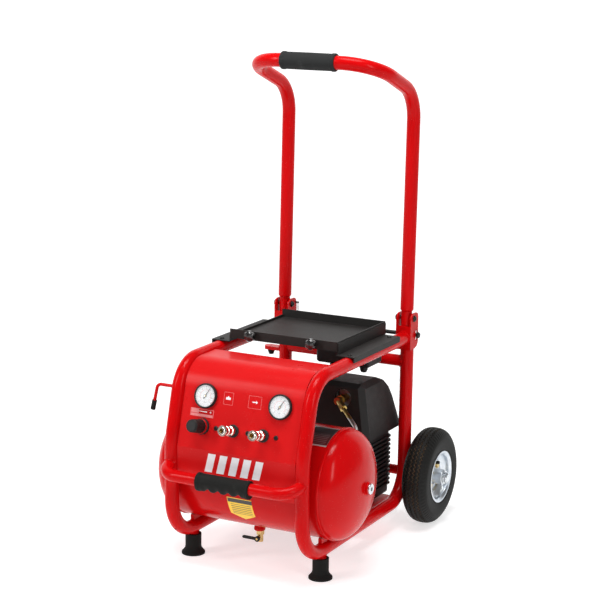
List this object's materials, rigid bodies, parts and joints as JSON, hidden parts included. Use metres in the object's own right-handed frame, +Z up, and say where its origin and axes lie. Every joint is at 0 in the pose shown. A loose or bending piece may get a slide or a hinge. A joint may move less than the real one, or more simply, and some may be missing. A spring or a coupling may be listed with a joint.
{
  "type": "air compressor",
  "caption": "Wheeled air compressor with a tube frame, folding push handle, cylindrical tank, angled gauge panel, top tray and hooded piston pump.",
  "frame": {"origin": "on the ground, under the middle of the machine's outline", "axes": "+Z up, the control panel faces -Y, the wheel axle runs along X"},
  "size_m": [0.5048, 0.7155, 1.0757],
  "materials": {
    "red_paint": "gloss",
    "red_tank": "gloss",
    "red_panel": "satin gloss",
    "black_sheet": "fine matt texture",
    "black_steel": "blackened",
    "spring_steel": "plain",
    "black_rubber": "matt",
    "black_plastic": "fine grain",
    "zinc": "zinc plated",
    "brass": "machined",
    "nickel": "nickel plated",
    "gauge_black": "satin",
    "dial_white": "printed",
    "needle_black": "satin",
    "lens": "clear",
    "cast_aluminium": "as cast",
    "steel_core": "plain",
    "tyre_rubber": "matt"
  },
  "bodies": {
    "frame": {"air_manifold": "cast_aluminium", "axle": "zinc", "axle_nuts": "zinc", "axle_tube": "red_paint", "base_plates": "red_paint", "button_screws": "black_steel", "cable_lug": "red_paint", "carry_handle_grip": "black_rubber", "carry_handle_tube": "red_paint", "check_valve": "brass", "control_panel": "red_panel", "coupler_bodies": "nickel", "crankcase": "cast_aluminium", "cylinder_head": "cast_aluminium", "delivery_pipe": "zinc", "drain_valve": "brass", "gauge_cases": "gauge_black", "gauge_dials": "dial_white", "gauge_lenses": "lens", "hinge_brackets": "red_paint", "hose_hook": "red_paint", "lock_springs": "spring_steel", "motor_housing": "cast_aluminium", "piston": "cast_aluminium", "pivot_bolts": "black_steel", "pump_grille": "black_plastic", "pump_hood": "black_plastic", "rear_cross_tube": "red_paint", "regulator_body": "black_plastic", "rubber_end_caps": "black_rubber", "rubber_feet": "black_rubber", "rubber_mounts": "black_rubber", "safety_valve": "brass", "side_frame_left": "red_paint", "side_frame_right": "red_paint", "switch_box": "black_plastic", "tank_ends": "red_tank", "tank_plugs": "zinc", "tank_shell": "red_tank", "tool_tray": "black_sheet", "tray_brackets": "black_sheet"},
    "handle": {"push_handle_tube": "red_paint", "push_handle_grip": "black_rubber"},
    "lock": {"lock_bar": "black_steel"},
    "wheel_right": {"tyre_right": "tyre_rubber", "rim_right": "zinc"},
    "wheel_left": {"tyre_left": "tyre_rubber", "rim_left": "zinc"},
    "regulator_knob": {"regulator_knob": "black_plastic"},
    "coupler_sleeve_left": {"coupler_sleeve_left": "nickel"},
    "coupler_sleeve_right": {"coupler_sleeve_right": "nickel"},
    "star_knob_left": {"star_knob_left": "black_plastic"},
    "star_knob_right": {"star_knob_right": "black_plastic"},
    "needle_left": {"gauge_needle_left": "needle_black"},
    "needle_right": {"gauge_needle_right": "needle_black"},
    "switch": {"switch_knob": "black_plastic"},
    "safety_ring": {"safety_ring": "zinc"},
    "drain_lever": {"drain_lever": "black_plastic"},
    "rotor": {"rotor_shaft": "steel_core", "cooling_fan": "black_plastic"}
  },
  "joints": [
    {"name": "handle_fold", "type": "hinge", "parent": "frame", "child": "handle", "pos_m": [0, 0.2115, 0.4805], "axis": [1, 0, 0], "range_deg": [0, 90]},
    {"name": "lock_slide", "type": "slide", "parent": "frame", "child": "lock", "axis": [0, 0, -1], "range_m": [0, 0.008], "stiffness_N_per_m": 600, "springref_m": -0.01, "deforming": ["lock_springs"]},
    {"name": "wheel_spin_right", "type": "hinge", "parent": "frame", "child": "wheel_right", "pos_m": [0.205, 0.2525, 0.11], "axis": [1, 0, 0], "continuous": true},
    {"name": "wheel_spin_left", "type": "hinge", "parent": "frame", "child": "wheel_left", "pos_m": [-0.205, 0.2525, 0.11], "axis": [1, 0, 0], "continuous": true},
    {"name": "regulator_turn", "type": "hinge", "parent": "frame", "child": "regulator_knob", "pos_m": [-0.086, -0.27829, 0.3145], "axis": [0, -0.9672, 0.2539], "continuous": true},
    {"name": "coupler_slide_left", "type": "slide", "parent": "frame", "child": "coupler_sleeve_left", "axis": [0, 0.9672, -0.2539], "range_m": [0, 0.004], "stiffness_N_per_m": 1500, "springref_m": -0.002},
    {"name": "coupler_slide_right", "type": "slide", "parent": "frame", "child": "coupler_sleeve_right", "axis": [0, 0.9672, -0.2539], "range_m": [0, 0.004], "stiffness_N_per_m": 1500, "springref_m": -0.002},
    {"name": "star_knob_turn_left", "type": "hinge", "parent": "frame", "child": "star_knob_left", "pos_m": [-0.074, -0.0885, 0.473], "axis": [0, -1, 0], "continuous": true},
    {"name": "star_knob_turn_right", "type": "hinge", "parent": "frame", "child": "star_knob_right", "pos_m": [0.074, -0.0885, 0.473], "axis": [0, -1, 0], "continuous": true},
    {"name": "needle_swing_left", "type": "hinge", "parent": "frame", "child": "needle_left", "pos_m": [-0.0855, -0.26215, 0.376], "axis": [0, -0.9672, 0.2539], "range_deg": [-105, 165], "stiffness_Nm_per_rad": 0.01},
    {"name": "needle_swing_right", "type": "hinge", "parent": "frame", "child": "needle_right", "pos_m": [0.0905, -0.26215, 0.376], "axis": [0, -0.9672, 0.2539], "range_deg": [-105, 165], "stiffness_Nm_per_rad": 0.01},
    {"name": "switch_turn", "type": "hinge", "parent": "frame", "child": "switch", "pos_m": [-0.004, 0.113, 0.424], "axis": [-1, 0, 0], "range_deg": [0, 60]},
    {"name": "safety_pull", "type": "slide", "parent": "frame", "child": "safety_ring", "axis": [0, 0.4695, 0.8829], "range_m": [0, 0.003], "stiffness_N_per_m": 4000, "springref_m": -0.003},
    {"name": "drain_turn", "type": "hinge", "parent": "frame", "child": "drain_lever", "pos_m": [-0.015, -0.1629, 0.0454], "axis": [0, -1, 0], "range_deg": [0, 90]},
    {"name": "rotor_spin", "type": "hinge", "parent": "frame", "child": "rotor", "pos_m": [0, 0.122, 0.15], "axis": [1, 0, 0], "continuous": true}
  ]
}
